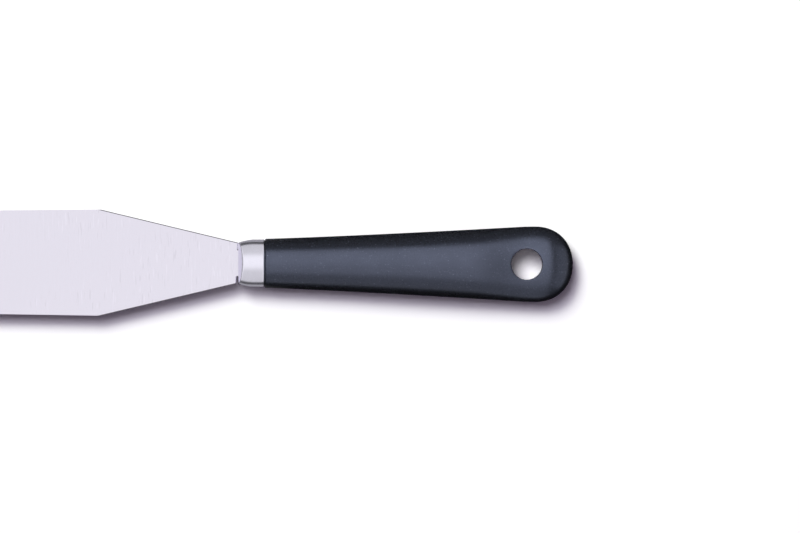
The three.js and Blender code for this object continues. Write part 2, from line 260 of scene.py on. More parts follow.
class Term:
    """A value in a node tree. Arithmetic on it adds the nodes that work it out."""

    def __init__(self, bench, socket):
        self.bench, self.socket = bench, socket

    def __add__(self, other):
        return self.bench.math("ADD", self, other)

    def __sub__(self, other):
        return self.bench.math("SUBTRACT", self, other)

    def __rsub__(self, other):
        return self.bench.math("SUBTRACT", other, self)

    def __mul__(self, other):
        return self.bench.math("MULTIPLY", self, other)

    def __truediv__(self, other):
        return self.bench.math("DIVIDE", self, other)

    def __rtruediv__(self, other):
        return self.bench.math("DIVIDE", other, self)

    def __pow__(self, other):
        return self.bench.math("POWER", self, other)

    def __abs__(self):
        return self.bench.math("ABSOLUTE", self)


class NodeBench:
    """Adds nodes to one tree and wires them, so that a finish or a rule reads in the order it works."""

    def __init__(self, tree):
        self.tree = tree

    def wire(self, node, inputs):
        """Gives inputs of a node, by name or number, a term or a plain value."""
        for key, value in inputs.items():
            if isinstance(value, Term):
                self.tree.links.new(value.socket, node.inputs[key])
            else:
                node.inputs[key].default_value = value

    def add(self, kind, inputs=None, **options):
        """A new node."""
        node = self.tree.nodes.new(kind)
        for option, value in options.items():
            setattr(node, option, value)
        self.wire(node, inputs or {})
        return node

    def take(self, kind, output, inputs=None, **options):
        """One output of a new node."""
        return Term(self, self.add(kind, inputs, **options).outputs[output])

    def take_all(self, kind, inputs=None, **options):
        """Every output of a new node, by name."""
        return {out.name: Term(self, out) for out in self.add(kind, inputs, **options).outputs}

    def math(self, operation, *values):
        """One step of arithmetic on numbers or terms."""
        return self.take("ShaderNodeMath", 0, dict(enumerate(values)), operation=operation)

    def spread(self, value, low, high, start=0.0, end=1.0, interpolation="LINEAR"):
        """A value moved from the range low to high into the range start to end."""
        inputs = {"Value": value, "From Min": low, "From Max": high, "To Min": start, "To Max": end}
        return self.take("ShaderNodeMapRange", 0, inputs, interpolation_type=interpolation)

    def tint(self, factor, first, second, blend="MIX"):
        """A colour made of two colours."""
        inputs = {0: factor, 6: first, 7: second}
        return self.take("ShaderNodeMix", 2, inputs, data_type="RGBA", blend_type=blend)

    def noise(self, place, scale, detail=2.0, roughness=0.5):
        """Cloudy noise, as a number about 0.5."""
        inputs = {"Vector": place, "Scale": scale, "Detail": detail, "Roughness": roughness}
        return self.take("ShaderNodeTexNoise", 0, inputs)

    def streaks(self, place, along, detail=2.0, roughness=0.5):
        """Noise with its axes scaled, so that it is drawn out into lines."""
        drawn_out = self.take("ShaderNodeMapping", 0, {"Vector": place, "Scale": along})
        return self.noise(drawn_out, 1.0, detail, roughness)

    def bump(self, height, distance, normal=None):
        """A surface normal tilted by a height, which is a share of the distance."""
        inputs = {"Height": height, "Distance": distance, "Strength": 1.0}
        if normal is not None:
            inputs["Normal"] = normal
        return self.take("ShaderNodeBump", 0, inputs)


def shade(value, factor=1.0):
    """A colour, darker or lighter by a factor, with its alpha."""
    return (*(channel * factor for channel in value), 1.0)


def new_finish(name):
    """A new material, its bench, its principled shader and the places on the object that wears it."""
    material = bpy.data.materials.new(name)
    material.use_nodes = True
    material.node_tree.nodes.clear()
    bench = NodeBench(material.node_tree)
    shader = bench.add("ShaderNodeBsdfPrincipled")
    bench.add("ShaderNodeOutputMaterial", {"Surface": Term(bench, shader.outputs[0])})
    return material, bench, shader, bench.take("ShaderNodeTexCoord", "Object")


def satin_steel(settings):
    """Brushed steel: faint lines across the blade, a few short marks, clouds, brighter along the edges."""
    material, bench, shader, place = new_finish("satin_steel")
    steel, rough = settings.steel, settings.roughness
    lines = bench.streaks(place, GRIND_LINES, detail=3.0, roughness=0.65)
    hairs = bench.streaks(place, GRIND_HAIRS, detail=1.0)
    clouds = bench.noise(place, scale=28.0, detail=3.0)
    edge = bench.take("ShaderNodeAttribute", "Fac", attribute_name="edge")
    grain = lines * 0.7 + hairs * 0.3
    tone = bench.spread(grain * 0.75 + clouds * 0.25, *NOISE_RANGE)
    brushed = bench.tint(tone, shade(steel, 0.985), shade(steel, 1.015))
    patches = bench.spread(bench.noise(place, scale=55.0), low=0.42, high=0.62)
    marks = bench.streaks(place, SHORT_MARKS, detail=0.0)
    dull = bench.spread(marks, low=0.70, high=0.78) * patches
    scratched = bench.tint(dull, brushed, shade(steel, 0.94))
    glints = bench.spread(marks, low=0.30, high=0.22) * patches
    face = bench.tint(glints, scratched, shade(steel, 1.045))
    bench.wire(shader, {
        "Base Color": bench.tint(edge * 0.5, face, shade(steel, 1.08)),
        "Roughness": bench.spread(grain, *NOISE_RANGE, rough - 0.05, rough + 0.05),
        "Normal": bench.bump(grain, GRIND_DEPTH),
        "Metallic": 1.0,
        "Anisotropic": 0.8,
        "Tangent": bench.take("ShaderNodeTangent", 0, direction_type="UV_MAP", uv_map="along"),
    })
    return material


def polished_steel(settings):
    """Drawn and buffed steel: nearly a mirror, with hair lines round the sleeve and a faint cloud."""
    material, bench, shader, place = new_finish("polished_steel")
    steel, rough = settings.steel, settings.roughness
    hairs = bench.streaks(place, BUFFED_HAIRS)
    clouds = bench.noise(place, scale=260.0, detail=3.0)
    wear = hairs * 0.5 + clouds * 0.5
    bench.wire(shader, {
        "Base Color": bench.tint(clouds, shade(steel, 0.94), shade(steel, 1.04)),
        "Roughness": bench.spread(wear, *NOISE_RANGE, rough - 0.04, rough + 0.06),
        "Normal": bench.bump(hairs, BUFF_DEPTH),
        "Metallic": 1.0,
    })
    return material


def moulded_black(settings):
    """Black plastic from a spark-worn mould: a fine matt tooth, pale specks, a parting line, rubbed edges."""
    material, bench, shader, place = new_finish("moulded_black")
    plastic, rough = settings.plastic, settings.roughness
    tooth = bench.noise(place, scale=3200.0)
    specks = bench.noise(place, scale=1500.0, detail=3.0, roughness=0.7)
    clouds = bench.noise(place, scale=110.0, detail=3.0)
    rubbed = bench.take("ShaderNodeAttribute", "Fac", attribute_name="rubbed")
    mottle = specks * 0.7 + clouds * 0.3
    tone = bench.spread(mottle, low=0.35, high=0.65)
    plain = bench.tint(tone, shade(plastic, 0.7), shade(plastic, 1.35))
    grit = bench.spread(bench.noise(place, scale=1900.0, detail=1.0), low=0.67, high=0.76)
    specked = bench.tint(grit, plain, shade(plastic, 9.0))
    matt = bench.spread(mottle, *NOISE_RANGE, rough + 0.08, rough - 0.08)
    level = bench.take("ShaderNodeSeparateXYZ", "Z", {"Vector": place})
    line = bench.spread(abs(level - MID_HEIGHT), 0.0, PARTING_WIDTH)
    bench.wire(shader, {
        "Base Color": bench.tint(rubbed * 0.5, specked, shade(plastic, 1.6)),
        "Roughness": matt - rubbed * 0.08,
        "Normal": bench.bump(line, PARTING_DEPTH, bench.bump(tooth, TOOTH_DEPTH)),
        "Specular IOR Level": 0.15,
        "Specular Tint": (0.62, 0.70, 1.0, 1.0),
    })
    return material


def pale_floor(settings):
    """A plain matt floor. In gloss it is dimmer, and dark away from the tool, so that rounded edges show."""
    material, bench, shader, place = new_finish("pale_floor")
    pale = settings.floor_colour
    ray = bench.take_all("ShaderNodeLightPath")
    axes = bench.take_all("ShaderNodeSeparateXYZ", {"Vector": place})
    away = bench.math("MAXIMUM", abs(axes["Y"]), abs(axes["X"]) - CAD_BOX[1][0])
    far = bench.spread(away, settings.near_reach, settings.far_reach)
    beside_handle = bench.spread(axes["X"], FERRULE_HIGH.x, FERRULE_HIGH.x + settings.handle_ease)
    near_steel, near_handle = shade(pale, settings.mirrored_near), shade(pale, settings.mirrored_handle)
    near_tone = bench.tint(beside_handle, near_steel, near_handle)
    mirrored = bench.tint(far, near_tone, shade(pale, settings.mirrored_far))
    # Painted light: a pale spot under the hanging hole, where light comes through, painted on the floor as a
    # glow that only the camera sees
    hole_x = HANDLE_HIGH.x - bpy.context.scene.spatula_handle.hole_from_butt
    spot = (hole_x + settings.painted_light_ahead, -settings.painted_light_aside, 0.0)
    off_spot = bench.take("ShaderNodeVectorMath", "Value", {0: place, 1: spot}, operation="DISTANCE")
    painted_light = bench.spread(off_spot, settings.painted_light_radius, 0.0, 0.0, settings.painted_light, "SMOOTHSTEP")
    bench.wire(shader, {
        "Base Color": bench.tint(ray["Is Glossy Ray"], shade(pale), mirrored),
        "Emission Strength": painted_light * ray["Is Camera Ray"],
        "Emission Color": WHITE,
        "Roughness": 0.9,
        "Specular IOR Level": 0.0,
    })
    material.cycles.emission_sampling = "NONE"
    return material


def new_piece(name, corners, faces, material):
    """A mesh object at the origin with one material."""
    mesh = bpy.data.meshes.new(name)
    mesh.from_pydata(corners, [], faces)
    mesh.materials.append(material)
    piece = bpy.data.objects.new(name, mesh)
    bpy.context.scene.collection.objects.link(piece)
    return piece


def turn_outwards(mesh, crease):
    """Points the faces outwards and shades them smooth, apart from edges sharper than the crease."""
    shape = bmesh.new()
    shape.from_mesh(mesh)
    bmesh.ops.recalc_face_normals(shape, faces=shape.faces)
    shape.to_mesh(mesh)
    shape.free()
    mesh.shade_smooth()
    mesh.set_sharp_from_angle(angle=crease)


def fit_to_frame(piece, node):
    """Stands the piece in for its CAD node, on the one body there is."""
    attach(piece, "root")
    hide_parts(node)


def round_rise(t, fullness=2.0):
    """A rise from 0 to 1 that starts steep and ends level. Fullness 2 is a quarter of an ellipse."""
    return (1 - max(0.0, 1 - t) ** fullness) ** (1 / fullness)


def even_steps(count):
    """Even steps from 0 to 1."""
    return [step / count for step in range(count + 1)]


def round_steps(count):
    """Steps from 0 to 1 that crowd towards 0, where a round rise is steep."""
    return [1 - math.cos(step * QUARTER_TURN) for step in even_steps(count)]


def lerp(start, end, t):
    """A value on the way from start to end."""
    return start + (end - start) * t


def arc(centre, radius, start, end, steps):
    """Points round an arc, both ends included."""
    angles = [lerp(start, end, t) for t in even_steps(steps)]
    return [centre + radius * Vector((math.cos(a), math.sin(a))) for a in angles]


def bands(rings):
    """Four-cornered faces from each closed ring to the next."""
    faces = []
    for first, second in zip(rings, rings[1:]):
        for i in range(len(first)):
            j = (i + 1) % len(first)
            faces.append((first[i], first[j], second[j], second[i]))
    return faces


def rounded_corner(before, corner, after, radius):
    """The arc that takes the place of one corner of an outline."""
    back, ahead = (before - corner).normalized(), (after - corner).normalized()
    half = back.angle(ahead) / 2
    centre = corner + (back + ahead).normalized() * (radius / math.sin(half))
    reach = radius / math.tan(half)
    first, last = corner + back * reach - centre, corner + ahead * reach - centre
    start = math.atan2(first.y, first.x)
    swing = (math.atan2(last.y, last.x) - start + math.pi) % FULL_TURN - math.pi
    return arc(centre, radius, start, start + swing, CORNER_STEPS)


def inward_steps(outline):
    """At each point of an anticlockwise outline, the step that draws its two sides in by one unit."""
    steps = []
    for i, point in enumerate(outline):
        before = (point - outline[i - 1]).normalized()
        after = (outline[(i + 1) % len(outline)] - point).normalized()
        inward = Vector((-before.y - after.y, before.x + after.x)).normalized()
        steps.append(inward / max(MITRE_LIMIT, inward.dot(Vector((-after.y, after.x)))))
    return steps


class BladeShape:
    """Outline and thickness of the blade and its tang."""

    def __init__(self, settings):
        self.settings = settings
        self.shoulder_x = FERRULE_LOW.x - settings.shoulder_gap
        self.heel_x = self.shoulder_x - settings.heel_length

    def shoulder_at(self, y):
        """Where the shoulders' line, cut a little out of square, lies at a place across the blade."""
        half = self.settings.shoulder_width / 2
        return self.shoulder_x - self.settings.shoulder_skew * (half - y) / (2 * half)

    def tip(self):
        """The tip's arc, which meets the straight sides at a tangent."""
        radius = self.settings.tip_radius
        centre = Vector((BLADE_LOW.x + radius, 0.0))
        along, across = self.heel_x - centre.x, BLADE_HIGH.y
        tangent = math.atan2(across, along) + math.acos(radius / math.hypot(along, across))
        return arc(centre, radius, tangent, FULL_TURN - tangent, ARC_STEPS)

    def outline(self):
        """Anticlockwise from the -Y corner of the heel, round the tang and back round the tip."""
        settings = self.settings
        corners = []
        for sign, side in ((-1, BLADE_LOW.y), (1, BLADE_HIGH.y)):
            shoulder, tang = sign * settings.shoulder_width / 2, sign * settings.tang_width / 2
            towards_butt = [
                (self.heel_x, side, settings.heel_corner),
                (self.shoulder_at(shoulder), shoulder, settings.shoulder_corner),
                (self.shoulder_at(tang), tang, settings.shoulder_corner),
                (BLADE_HIGH.x, tang, settings.tang_corner),
            ]
            corners += towards_butt[::-sign]
        tip = self.tip()
        places = [tip[-1], *(Vector((x, y)) for x, y, _ in corners), tip[0]]
        points = []
        for i, (_, _, radius) in enumerate(corners):
            points += rounded_corner(places[i], places[i + 1], places[i + 2], radius)
        # Where the heel's bevel has died out along each straight side
        low, high = places[1], places[-2]
        low_end = low + (tip[-1] - low).normalized() * settings.heel_corner
        high_end = high + (tip[0] - high).normalized() * settings.heel_corner
        return [*points, high_end, *tip, low_end]

    def half_thickness(self, x):
        """Half the blade's thickness: full at the heel and the tang, ground thinner towards the tip."""
        full = BLADE_HIGH.z - BLADE_LOW.z
        towards_tip = max(0.0, self.heel_x - x) / (self.heel_x - BLADE_LOW.x)
        return lerp(full, self.settings.tip_thickness, towards_tip) / 2

    def edge_at(self, x):
        """Size and roundness of the edge: a small round along the blade, a flat bevel along the heel."""
        on_heel = min(1.0, max(0.0, (x - self.heel_x) / self.settings.heel_corner + 1))
        size = lerp(self.settings.edge_radius, self.settings.heel_bevel, on_heel)
        return size, lerp(ROUND_EDGE, FLAT_BEVEL, on_heel)

    def key_centres(self):
        """Centres of the holes in the tang, evenly spread inside the handle."""
        start = FERRULE_HIGH.x
        pitch = (BLADE_HIGH.x - start) / (self.settings.key_count + 1)
        return [Vector((start + pitch * (i + 1), 0.0)) for i in range(self.settings.key_count)]


def blade_mesh(settings, mesh):
    """Fills a mesh with the blade: rounded edges from ring to ring, flat faces, holes through the tang."""
    blade = BladeShape(settings)
    shape = bmesh.new()
    edge_layer = shape.verts.layers.float.new("edge")

    def ring(points, steps, side, lean):
        """One ring of corners, at a lean from the edge's wall (0) to the flat face (a quarter turn)."""
        corners = []
        for point, step in zip(points, steps):
            size, roundness = blade.edge_at(point.x)
            drawn = size * (1 - math.cos(lean) ** (2 / roundness))
            sunk = size * (1 - math.sin(lean) ** (2 / roundness))
            place = point + step * drawn
            height = blade.half_thickness(point.x) - sunk
            corner = shape.verts.new((place.x, place.y, MID_HEIGHT + side * height))
            corner[edge_layer] = 1.0 - math.sin(lean)
            corners.append(corner)
        return corners

    outline = blade.outline()
    steps = inward_steps(outline)
    leans = [t * QUARTER_TURN for t in even_steps(EDGE_STEPS)]
    lower = [ring(outline, steps, -1, lean) for lean in leans]
    upper = [ring(outline, steps, 1, lean) for lean in leans]
    rings = lower[::-1] + upper
    walls = bands(rings)
    under_loops, top_loops = [rings[0]], [rings[-1]]
    for centre in blade.key_centres():
        circle = arc(centre, settings.key_diameter / 2, 0, FULL_TURN, KEY_SIDES)[:-1]
        still = [Vector((0.0, 0.0))] * len(circle)
        under_loops.append(ring(circle, still, -1, QUARTER_TURN))
        top_loops.append(ring(circle, still, 1, QUARTER_TURN))
        walls += bands([top_loops[-1], under_loops[-1]])
    for corners in walls:
        shape.faces.new(corners).smooth = True
    for loops, up in ((under_loops, -1.0), (top_loops, 1.0)):
        edges = []
        for loop in loops:
            for i, corner in enumerate(loop):
                pair = (loop[i - 1], corner)
                edges.append(shape.edges.get(pair) or shape.edges.new(pair))
        filled = bmesh.ops.triangle_fill(shape, use_beauty=True, edges=edges, normal=(0.0, 0.0, up))
        for face in filled["geom"]:
            if isinstance(face, bmesh.types.BMFace):
                face.smooth = False
    bmesh.ops.recalc_face_normals(shape, faces=shape.faces)
    along = shape.loops.layers.uv.new("along")
    for face in shape.faces:
        for loop in face.loops:
            loop[along].uv = loop.vert.co.xy
    shape.to_mesh(mesh)
    shape.free()


def oval(x, width, height, squareness, bow=0.0, trimmed=1.0, rounding=0.0):
    """Corners of one oval across X: a plain ellipse at squareness 2, nearer a rounded box above that.

    Corners of the same number lie at the same share of the width on every oval. A bow brings the two ends
    forward. A trimmed oval is the middle share of a wider one, with its two sides cut off and rounded.
    """
    corners = []
    for side in range(SLEEVE_SIDES):
        angle = FULL_TURN * side / SLEEVE_SIDES
        across = math.cos(angle)
        crown = max(0.0, 1 - abs(across * trimmed) ** squareness) ** (1 / squareness)
        edge = max(0.0, 1 - abs(across) ** TRIM_SQUARENESS) ** (rounding / TRIM_SQUARENESS)
        rise = math.copysign(crown * edge, math.sin(angle))
        corners.append((x - bow * across**2, width / 2 * across, MID_HEIGHT + height / 2 * rise))
    return corners


def ferrule_rings(settings):
    """Ovals round the sleeve's wall: the slot, the outside to the back, then the inside to the slot again."""
    front, back = FERRULE_LOW.x, FERRULE_HIGH.x
    flare = settings.flare
    full_width = FERRULE_HIGH.y - FERRULE_LOW.y - 2 * flare
    full_height = FERRULE_HIGH.z - FERRULE_LOW.z - 2 * flare
    tapered = settings.nose_length + settings.taper_length

    def section(behind, inset):
        """The sleeve's oval at a distance behind its front, drawn in all round for its inside."""
        left = (tapered - behind) / settings.taper_length
        bow = settings.nose_bow * min(behind, settings.nose_length * left)
        widening = round_rise((behind - bow) / tapered, settings.taper_fullness)
        width = lerp(settings.nose_width, full_width, widening) - 2 * inset
        opening = round_rise(behind / settings.nose_length, settings.nose_fullness)
        height = lerp(settings.nose_height, full_height, opening) - 2 * inset
        trimmed = width / (full_width - 2 * inset)
        return oval(front + inset + behind, width, height, settings.squareness, bow, trimmed, 1 - widening)

    def plain(x, inset):
        """The full oval of the sleeve's back, drawn in or, below 0, turned out."""
        return oval(x, full_width - 2 * inset, full_height - 2 * inset, settings.squareness)

    nose = [t * settings.nose_length for t in round_steps(NOSE_STEPS)]
    taper = [lerp(settings.nose_length, tapered, t) for t in even_steps(TAPER_STEPS)][1:]
    rings = [oval(front, settings.slot_width, settings.slot_height, SLOT_SQUARENESS)]
    rings += [section(behind, 0.0) for behind in nose + taper]
    rim_start = back - settings.rim_radius
    for t in even_steps(FLARE_STEPS):
        turned_out = flare * t * t * (3 - 2 * t)  # level at both ends
        rings.append(plain(rim_start - settings.flare_length * (1 - t), -turned_out))
    for t in reversed(round_steps(EDGE_STEPS)[:-1]):
        drawn = settings.rim_radius * (1 - round_rise(t))
        rings.append(plain(back - settings.rim_radius * t, drawn - flare))
    rings.append(plain(back, settings.wall))
    inner = [behind for behind in nose + taper if behind > INNER_NOSE_START * settings.nose_length]
    rings += [section(behind, settings.wall) for behind in reversed(inner)]
    rings.append(oval(rings[-1][0][0], settings.slot_width, settings.slot_height, SLOT_SQUARENESS))
    return rings


class HandleSheet:
    """The handle's skin before it has its shape: corners that only say where on the handle they lie.

    Each corner has a station along the grip, a share across the width from seam to seam, a plain distance
    aside, a face (1 above, -1 below), how far it is drawn in, how far it is sunk, and how rubbed it is.
    """

    FIELDS = ("station", "across", "aside", "face", "drawn", "sunk", "rubbed")

    def __init__(self, settings):
        self.settings = settings
        self.length = HANDLE_HIGH.x - FERRULE_HIGH.x - settings.ferrule_gap
        self.hole_station = self.length - settings.hole_from_butt
        self.stations, self.patch_first = self.station_list()
        self.shares = self.share_list()
        self.corners, self.faces = [], []
        self.build()

    def corner(self, station, across=0.0, aside=0.0, face=1.0, drawn=0.0, sunk=0.0, rubbed=0.0):
        """Adds one corner and returns its number."""
        self.corners.append((station, across, aside, face, drawn, sunk, rubbed))
        return len(self.corners) - 1

    def station_list(self):
        """Every station from the spigot to the butt, and the number of the first one at the hole's square.

        Each comes with how far its oval is drawn in and how rubbed it is.
        """

        def full_run(start, end, steps):
            return [(lerp(start, end, t), 0.0, 0.0) for t in steps]

        settings = self.settings
        radius, inset = settings.front_radius, settings.spigot_inset
        half = settings.hole_diameter * PATCH_SHARE
        patch_start, patch_end = self.hole_station - half, self.hole_station + half
        collar = settings.collar_length
        spigot = [(-settings.spigot_length, inset, 0.0), (-collar, inset, 0.0)]
        spigot += [(-collar, settings.collar_inset, 0.0), (0.0, settings.collar_inset, 0.0)]
        edge = [(radius * t, radius * (1 - round_rise(t)), 1.0 - t) for t in round_steps(EDGE_STEPS)]
        flank = full_run(radius, patch_start, even_steps(FLANK_STEPS))
        patch = full_run(patch_start, patch_end, even_steps(PATCH_STEPS))
        butt = full_run(self.length, patch_end, round_steps(BUTT_STEPS))
        to_patch = spigot + edge + flank[1:]
        return to_patch + patch[1:] + butt[::-1][1:], len(to_patch) - 1

    def share_list(self):
        """Shares across one face from seam to seam, evenly spread round the oval."""
        spread = 2 / self.settings.back_squareness
        angles = [math.pi * (1 - t) for t in even_steps(ACROSS_STEPS)]
        return [math.copysign(abs(math.cos(a)) ** spread, math.cos(a)) for a in angles]

    def build(self):
        """Lays both faces, joins them down the hole and closes the spigot's front."""
        above, top_rim = self.lay_face(1.0)
        below, low_rim = self.lay_face(-1.0, above)
        wall = [self.hole_ring(1.0, lerp(1.0, -1.0, t)) for t in even_steps(WALL_STEPS)[1:-1]]
        self.faces += bands([top_rim, *wall, low_rim])
        self.faces.append(above[0] + below[0][-2:0:-1])

    def lay_face(self, face, shared=None):
        """One face of the handle, with a square of rings round the hole: its grid and the hole's rim.

        The second face shares the corners along the seams and at the butt with the first.
        """
        first, last = self.patch_first, self.patch_first + PATCH_STEPS
        near = (ACROSS_STEPS - PATCH_STEPS) // 2
        far = near + PATCH_STEPS
        winding = 1 if face > 0 else -1
        grid = []
        for i, (station, drawn, rubbed) in enumerate(self.stations):
            at_butt = i == len(self.stations) - 1
            row = []
            for j, across in enumerate(self.shares):
                at_seam = j in (0, ACROSS_STEPS)
                if shared and (at_butt or at_seam):
                    row.append(shared[i][j])
                elif at_butt and row:
                    row.append(row[0])
                elif at_butt:
                    row.append(self.corner(station))
                elif first < i < last and near < j < far:
                    row.append(None)
                else:
                    row.append(self.corner(station, across, face=face, drawn=drawn, rubbed=rubbed))
            grid.append(row)
        for i, (row, next_row) in enumerate(zip(grid, grid[1:])):
            for j in range(ACROSS_STEPS):
                if first <= i < last and near <= j < far:
                    continue
                loop = [row[j], next_row[j], next_row[j + 1], row[j + 1]]
                if loop[1] == loop[2]:
                    loop.pop(2)
                self.faces.append(loop[::winding])
        border = [(i, near) for i in range(first, last)]
        border += [(last, j) for j in range(near, far)]
        border += [(i, far) for i in range(last, first, -1)]
        border += [(first, j) for j in range(far, near, -1)]
        rings = [[grid[i][j] for i, j in border]]
        rings += [self.patch_ring(border, t, face) for t in even_steps(RING_STEPS)[1:]]
        rings += [self.hole_ring(t, face) for t in even_steps(EDGE_STEPS)[1:]]
        self.faces += [loop[::winding] for loop in bands(rings)]
        return grid, rings[-1]

    def hole_places(self, radius):
        """Places round the hole, from the square's first corner, as many as the square's border has."""
        count = 4 * PATCH_STEPS
        angles = [PATCH_CORNER + FULL_TURN * k / count for k in range(count)]
        return [(self.hole_station + radius * math.cos(a), radius * math.sin(a)) for a in angles]

    def patch_ring(self, border, t, face):
        """One ring on the way from the square's border to the hole's rim."""
        rim = self.hole_places(self.settings.hole_diameter / 2 + self.settings.hole_rim)
        rubbed = max(0.0, (t - RUBBED_FROM) / (1 - RUBBED_FROM))
        ring = []
        for (i, j), (station, aside) in zip(border, rim):
            along = lerp(self.stations[i][0], station, t)
            ring.append(self.corner(along, self.shares[j] * (1 - t), aside * t, face, rubbed=rubbed))
        return ring

    def hole_ring(self, t, face):
        """One ring over the hole's rounded rim, from the face (0) to the wall (1)."""
        rim, lean = self.settings.hole_rim, t * QUARTER_TURN
        places = self.hole_places(self.settings.hole_diameter / 2 + rim * (1 - math.sin(lean)))
        sunk = rim * (1 - math.cos(lean))
        return [self.corner(x, 0.0, y, face, sunk=sunk, rubbed=1.0 - t) for x, y in places]


# Inputs of the handle's node tree: those that follow from the frame, and those that are its own settings
FRAME_SIZES = ("Front X", "Mid Height", "Length", "Butt Width", "Full Height")
OWN_SIZES = (
    "Front Width", "Front Height", "Butt Height", "Height Rise", "Thinning Start", "Height Fall",
    "Butt Length", "Butt Squareness", "Flank Flare", "Flank Ease", "Front Squareness", "Back Squareness",
    "Squaring Start",
)


def handle_rule():
    """The node tree that gives the sheet its shape: width, thickness and squareness at every station."""
    tree = bpy.data.node_groups.new("handle_rule", "GeometryNodeTree")
    bench = NodeBench(tree)
    tree.interface.new_socket("Geometry", in_out="INPUT", socket_type="NodeSocketGeometry")
    for name in FRAME_SIZES + OWN_SIZES:
        tree.interface.new_socket(name, in_out="INPUT", socket_type="NodeSocketFloat")
    tree.interface.new_socket("Finish", in_out="INPUT", socket_type="NodeSocketMaterial")
    tree.interface.new_socket("Geometry", in_out="OUTPUT", socket_type="NodeSocketGeometry")
    given = bench.take_all("NodeGroupInput")

    def field(name):
        """One of the sheet's fields."""
        return bench.take("GeometryNodeInputNamedAttribute", "Attribute", {"Name": name}, data_type="FLOAT")

    def at_least(value, limit):
        return bench.math("MAXIMUM", value, limit)

    def at_most(value, limit):
        return bench.math("MINIMUM", value, limit)

    def between(start, end, t):
        return bench.math("MULTIPLY_ADD", end - start, t, start)

    def smooth(value, low, high):
        return bench.spread(value, low, high, interpolation="SMOOTHSTEP")

    def round_off(t, fullness):
        """1 at t = 0, falling along a superellipse to 0 at t = 1."""
        return at_least(1.0 - t**fullness, 0.0) ** (1.0 / fullness)

    station = field("station")
    butt_start = given["Length"] - given["Butt Length"]
    into_butt = bench.spread(station, butt_start, given["Length"])

    # Width seen from above: a flank that flares and eases parallel, then the round butt
    ease = given["Flank Ease"]
    on_flank = at_most(station, butt_start)
    eased = at_least(on_flank - (butt_start - ease), 0.0)
    along = at_least(on_flank - eased * eased / (ease * 2.0), 0.0)
    flare = (along / (butt_start - ease / 2.0)) ** given["Flank Flare"]
    flank_width = between(given["Front Width"], given["Butt Width"], flare)
    width = flank_width * round_off(into_butt, given["Butt Squareness"])

    # Thickness seen from the side: a slow rise, a belly, thinner at the hole, then rounded down to the butt
    rise = smooth(station, 0.0, given["Height Rise"])
    belly = between(given["Front Height"], given["Full Height"], rise)
    level = between(belly, given["Butt Height"], smooth(station, given["Thinning Start"], butt_start))
    fall = bench.spread(station, given["Length"] - given["Height Fall"], given["Length"])
    height = level * round_off(fall, 2.0)

    # Squareness of the oval: the faces flatten towards the butt, and the butt itself is round again
    squared = smooth(station, given["Squaring Start"], butt_start) * (1.0 - into_butt)
    squareness = between(given["Front Squareness"], given["Back Squareness"], squared)

    # Each corner's place on its oval
    drawn = field("drawn")
    half_width, half_height = width / 2.0 - drawn, height / 2.0 - drawn
    y = half_width * field("across") + field("aside")
    out = abs(y) / at_least(half_width, LEAST_WIDTH)
    lift = half_height * round_off(at_most(out, 1.0), squareness) - field("sunk")
    z = bench.math("MULTIPLY_ADD", lift, field("face"), given["Mid Height"])
    place = bench.take("ShaderNodeCombineXYZ", 0, {"X": station + given["Front X"], "Y": y, "Z": z})
    shaped = bench.take("GeometryNodeSetPosition", 0, {"Geometry": given["Geometry"], "Position": place})
    real = bench.take("GeometryNodeRealizeInstances", 0, {"Geometry": shaped})
    finished = bench.take("GeometryNodeSetMaterial", 0, {"Geometry": real, "Material": given["Finish"]})
    bench.add("NodeGroupOutput", {"Geometry": finished})
    return tree


def shape_by_nodes(piece, tree, values):
    """Runs a node tree on the piece with these inputs, then keeps the result as a plain mesh."""
    modifier = piece.modifiers.new(tree.name, "NODES")
    modifier.node_group = tree
    for item in tree.interface.items_tree:
        if item.in_out == "INPUT" and item.name in values:
            modifier[item.identifier] = values[item.name]
    graph = bpy.context.evaluated_depsgraph_get()
    shaped = bpy.data.meshes.new_from_object(
        piece.evaluated_get(graph), preserve_all_data_layers=True, depsgraph=graph
    )
    piece.modifiers.clear()
    flat, piece.data = piece.data, shaped
    bpy.data.meshes.remove(flat)
    shaped.name = piece.name


class SPATULA_OT_blade(bpy.types.Operator):
    """Build the satin blade with its tang"""

    bl_idname = "spatula.blade"
    bl_label = "Blade"
    bl_options = {"REGISTER", "UNDO"}

    def execute(self, context):
        settings = context.scene.spatula_blade
        piece = new_piece("satin_blade", [], [], satin_steel(settings))
        blade_mesh(settings, piece.data)
        fit_to_frame(piece, "blade")
        return {"FINISHED"}


class SPATULA_OT_ferrule(bpy.types.Operator):
    """Build the bright drawn ferrule"""

    bl_idname = "spatula.ferrule"
    bl_label = "Ferrule"
    bl_options = {"REGISTER", "UNDO"}

    def execute(self, context):
        settings = context.scene.spatula_ferrule
        rings = ferrule_rings(settings)
        corners = [corner for ring in rings for corner in ring]
        numbers = [range(r * SLEEVE_SIDES, (r + 1) * SLEEVE_SIDES) for r in range(len(rings))]
        faces = bands([*numbers, numbers[0]])
        piece = new_piece("bright_ferrule", corners, faces, polished_steel(settings))
        turn_outwards(piece.data, FERRULE_CREASE)
        fit_to_frame(piece, "ferrule")
        return {"FINISHED"}


